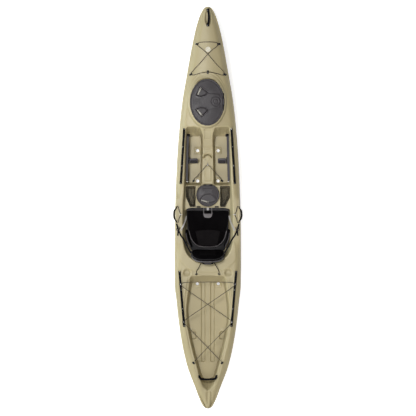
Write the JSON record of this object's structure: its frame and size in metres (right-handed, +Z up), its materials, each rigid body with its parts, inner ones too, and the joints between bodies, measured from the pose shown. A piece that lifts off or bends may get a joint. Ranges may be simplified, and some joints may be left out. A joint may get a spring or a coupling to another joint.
{
  "type": "fishing kayak",
  "caption": "Sit-on-top fishing kayak with hinged hatches, sliding foot braces, a reclining padded seat, gear tracks, bungees and carry handles.",
  "frame": {"origin": "bottom centre of the bounding box, under the keel amidships", "axes": "+Y toward the bow, +X to starboard, +Z up"},
  "size_m": [0.7367, 4.27, 0.4472],
  "materials": {
    "hull_plastic": "satin, finely pebbled moulding",
    "lid_plastic": "matt",
    "black_fitting": "satin",
    "grey_frame": "satin",
    "track_aluminium": "black anodised",
    "seal_rubber": "matt",
    "handle_rubber": "matt",
    "steel": "brushed",
    "bungee_cord": "woven sheath",
    "seat_fabric": "woven",
    "black_webbing": "ribbed weave",
    "grey_webbing": "ribbed weave",
    "pocket_net": "open mesh"
  },
  "bodies": {
    "hull": {"hull": "hull_plastic", "bow_hatch_rim": "black_fitting", "bow_hatch_seal": "seal_rubber", "bow_hatch_hinge_pin": "steel", "centre_hatch_rim": "black_fitting", "centre_hatch_seal": "seal_rubber", "centre_hatch_hinge_pin": "steel", "track_front_left": "track_aluminium", "track_front_right": "track_aluminium", "track_rear_left": "track_aluminium", "track_rear_right": "track_aluminium", "foot_rail_left": "grey_frame", "foot_rail_right": "grey_frame", "bow_handle": "handle_rubber", "stern_handle_lug_left": "black_fitting", "stern_handle_lug_right": "black_fitting", "side_handle_bracket_left": "black_fitting", "side_handle_bracket_right": "black_fitting", "bow_bungee": "bungee_cord", "console_bungee": "bungee_cord", "tankwell_bungee": "bungee_cord", "side_bungee_left": "bungee_cord", "side_bungee_right": "bungee_cord", "bow_eye_centre": "black_fitting", "console_eye": "black_fitting", "bow_eye_front_left": "black_fitting", "bow_eye_front_right": "black_fitting", "bow_eye_rear_left": "black_fitting", "bow_eye_rear_right": "black_fitting", "side_eye_left": "black_fitting", "side_eye_right": "black_fitting", "seat_base": "black_fitting", "seat_hinge_rod": "steel", "seat_cushion": "seat_fabric", "seat_wing_left": "seat_fabric", "seat_wing_right": "seat_fabric", "lift_strap": "grey_webbing", "seat_strap_left": "grey_webbing", "seat_strap_right": "grey_webbing", "side_strap_left": "black_webbing", "side_strap_right": "black_webbing", "rear_strap_left": "black_webbing", "rear_strap_right": "black_webbing", "pocket_left": "pocket_net", "pocket_right": "pocket_net"},
    "bow_lid": {"bow_hatch_lid": "lid_plastic"},
    "bow_latch_front": {"bow_latch_front": "black_fitting"},
    "bow_latch_rear": {"bow_latch_rear": "black_fitting"},
    "centre_lid": {"centre_hatch_lid": "lid_plastic"},
    "centre_latch": {"centre_latch": "black_fitting"},
    "foot_slider_left": {"foot_slider_left": "black_fitting"},
    "foot_slider_right": {"foot_slider_right": "black_fitting"},
    "pedal_left": {"foot_pedal_left": "grey_frame"},
    "pedal_right": {"foot_pedal_right": "grey_frame"},
    "seat_back": {"seat_back_shell": "grey_frame", "seat_back_cushion": "seat_fabric", "seat_grab_handle": "handle_rubber"},
    "side_handle_left": {"side_handle_left": "handle_rubber"},
    "side_handle_right": {"side_handle_right": "handle_rubber"},
    "stern_handle": {"stern_handle": "handle_rubber"}
  },
  "joints": [
    {"name": "bow_lid_hinge", "type": "hinge", "parent": "hull", "child": "bow_lid", "pos_m": [0.166, 1.125, 0.3593], "axis": [0, 1, 0], "range_deg": [0, 115]},
    {"name": "bow_latch_front_turn", "type": "hinge", "parent": "bow_lid", "child": "bow_latch_front", "pos_m": [-0.074, 1.264, 0.361], "axis": [0, 0, 1], "range_deg": [0, 80]},
    {"name": "bow_latch_rear_turn", "type": "hinge", "parent": "bow_lid", "child": "bow_latch_rear", "pos_m": [-0.064, 0.98, 0.361], "axis": [0, 0, 1], "range_deg": [-87, 0]},
    {"name": "centre_lid_hinge", "type": "hinge", "parent": "hull", "child": "centre_lid", "pos_m": [0, 0.2438, 0.2139], "axis": [-1, 0, 0], "range_deg": [0, 110]},
    {"name": "centre_latch_turn", "type": "hinge", "parent": "centre_lid", "child": "centre_latch", "pos_m": [0, 0.0595, 0.216], "axis": [0, 0, 1], "range_deg": [-146, 0]},
    {"name": "foot_slide_left", "type": "slide", "parent": "hull", "child": "foot_slider_left", "axis": [0.0239, 0.9997, 0], "range_m": [-0.12, 0.2]},
    {"name": "pedal_tilt_left", "type": "hinge", "parent": "foot_slider_left", "child": "pedal_left", "pos_m": [-0.18, 0.505, 0.165], "axis": [-1, 0, 0], "range_deg": [0, 20], "stiffness_Nm_per_rad": 2},
    {"name": "foot_slide_right", "type": "slide", "parent": "hull", "child": "foot_slider_right", "axis": [-0.0239, 0.9997, 0], "range_m": [-0.12, 0.2]},
    {"name": "pedal_tilt_right", "type": "hinge", "parent": "foot_slider_right", "child": "pedal_right", "pos_m": [0.18, 0.505, 0.165], "axis": [-1, 0, 0], "range_deg": [0, 20], "stiffness_Nm_per_rad": 2},
    {"name": "seat_back_recline", "type": "hinge", "parent": "hull", "child": "seat_back", "pos_m": [0, -0.45, 0.172], "axis": [-1, 0, 0], "range_deg": [-8, 75], "deforming": ["side_strap_left", "side_strap_right", "rear_strap_left", "rear_strap_right"]},
    {"name": "side_handle_left_swing", "type": "hinge", "parent": "hull", "child": "side_handle_left", "pos_m": [-0.332, -0.073, 0.2988], "axis": [0, 1, 0], "range_deg": [0, 120]},
    {"name": "side_handle_right_swing", "type": "hinge", "parent": "hull", "child": "side_handle_right", "pos_m": [0.332, -0.073, 0.2988], "axis": [0, -1, 0], "range_deg": [0, 120]},
    {"name": "stern_handle_swing", "type": "hinge", "parent": "hull", "child": "stern_handle", "pos_m": [0, -1.785, 0.3163], "axis": [-1, 0, 0], "range_deg": [0, 100]}
  ]
}
